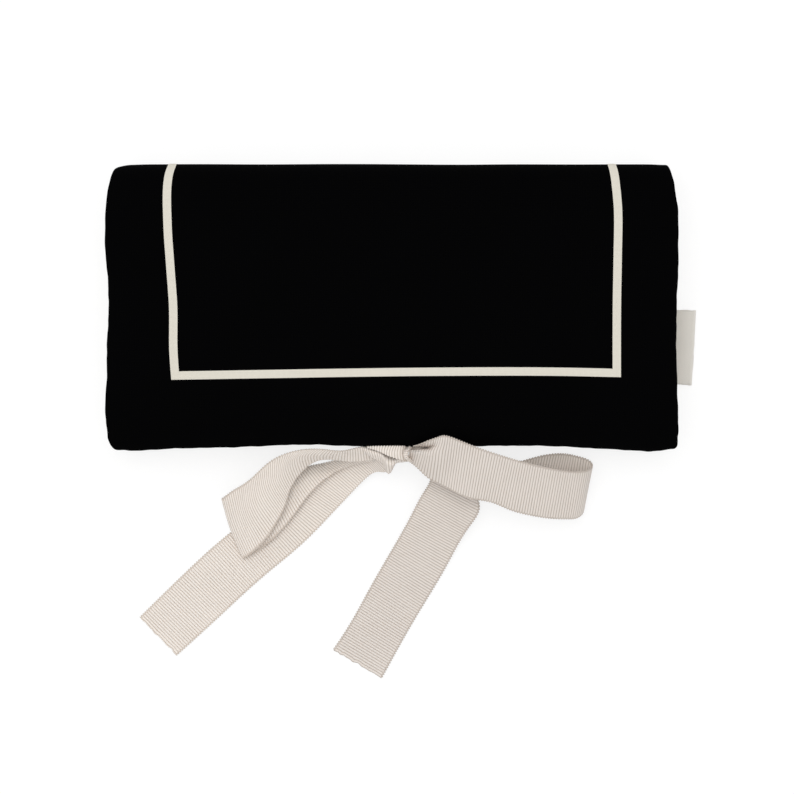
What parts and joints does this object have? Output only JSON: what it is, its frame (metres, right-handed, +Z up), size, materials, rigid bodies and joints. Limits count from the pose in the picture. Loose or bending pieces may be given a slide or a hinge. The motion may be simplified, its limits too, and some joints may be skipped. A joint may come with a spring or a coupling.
{
  "type": "jewelry case",
  "caption": "Fold-over padded fabric jewelry case, closed and tied with a ribbon bow, with zip pockets, slip pockets and a snap ring bar inside.",
  "frame": {"origin": "middle of the back panel's flat underside, where the closed case rests", "axes": "+X along the fold, towards the label; +Y from the free edges towards the fold; +Z up out of the flap"},
  "size_m": [0.2497, 0.2154, 0.0313],
  "materials": {
    "canvas": "matte black cotton canvas, plain weave",
    "line": "matte cream cotton tape",
    "lining": "matte natural cotton",
    "wadding": "matte polyester wadding",
    "label": "matte woven label, bare",
    "ribbon": "cream grosgrain with cross ribs, low sheen",
    "zip_cloth": "matte woven zip tape",
    "nickel": "satin nickel plate",
    "brass": "satin brass"
  },
  "bodies": {
    "back": {"outer_canvas_back": "canvas", "frame_line_back": "line", "padding_back": "wadding", "lining_back": "lining", "label_tab": "label", "pocket_front_front": "lining", "pocket_facing_front": "lining", "zip_tape_lower_front": "zip_cloth", "zip_tape_upper_front": "zip_cloth", "zip_teeth_lower_front": "nickel", "zip_teeth_upper_front": "nickel", "zip_stop_front_left": "nickel", "zip_stop_front_right": "nickel", "pocket_front_fold": "lining", "pocket_facing_fold": "lining", "zip_tape_lower_fold": "zip_cloth", "zip_tape_upper_fold": "zip_cloth", "zip_teeth_lower_fold": "nickel", "zip_teeth_upper_fold": "nickel", "zip_stop_fold_left": "nickel", "zip_stop_fold_right": "nickel", "ribbon_back": "ribbon"},
    "spine": {"outer_canvas_spine": "canvas", "frame_line_spine_left": "line", "frame_line_spine_right": "line", "padding_spine": "wadding", "lining_spine": "lining"},
    "flap": {"outer_canvas_flap": "canvas", "frame_line_flap": "line", "padding_flap": "wadding", "lining_flap": "lining", "slip_pocket_1": "lining", "slip_pocket_2": "lining", "slip_pocket_3": "lining", "ring_bar_anchor": "lining", "snap_stud": "brass", "ribbon_flap": "ribbon"},
    "ring_bar": {"ring_bar_roll": "lining", "ring_bar_snap_tab": "lining", "snap_socket": "brass", "snap_cap": "brass"},
    "slider_front": {"zip_slider_front": "nickel"},
    "slider_fold": {"zip_slider_fold": "nickel"},
    "pull_front": {"zip_pull_front": "nickel"},
    "pull_fold": {"zip_pull_fold": "nickel"}
  },
  "joints": [
    {"name": "spine_fold", "type": "hinge", "parent": "back", "child": "spine", "pos_m": [0, 0.06, 0], "axis": [-1, 0, 0], "range_deg": [0, 90]},
    {"name": "flap_fold", "type": "hinge", "parent": "spine", "child": "flap", "pos_m": [0, 0.06, 0.028], "axis": [-1, 0, 0], "range_deg": [0, 90]},
    {"name": "ring_bar_lift", "type": "hinge", "parent": "flap", "child": "ring_bar", "pos_m": [-0.088, -0.042, 0.0216], "axis": [0, 1, 0], "range_deg": [0, 45]},
    {"name": "zip_slide_front", "type": "slide", "parent": "back", "child": "slider_front", "axis": [-1, 0, 0], "range_m": [0, 0.173]},
    {"name": "zip_slide_fold", "type": "slide", "parent": "back", "child": "slider_fold", "axis": [-1, 0, 0], "range_m": [0, 0.173]},
    {"name": "zip_pull_front_lift", "type": "hinge", "parent": "slider_front", "child": "pull_front", "pos_m": [0.0867, -0.014, 0.0133], "axis": [0, -1, 0], "range_deg": [0, 90]},
    {"name": "zip_pull_fold_lift", "type": "hinge", "parent": "slider_fold", "child": "pull_fold", "pos_m": [0.0867, 0.038, 0.0133], "axis": [0, -1, 0], "range_deg": [0, 90]}
  ],
  "couplings": [
    {"joint": "ring_bar_lift", "follows": "flap_fold", "ratio": 0.5},
    {"joint": "zip_pull_front_lift", "follows": "flap_fold", "ratio": 1},
    {"joint": "zip_pull_fold_lift", "follows": "flap_fold", "ratio": 1}
  ]
}
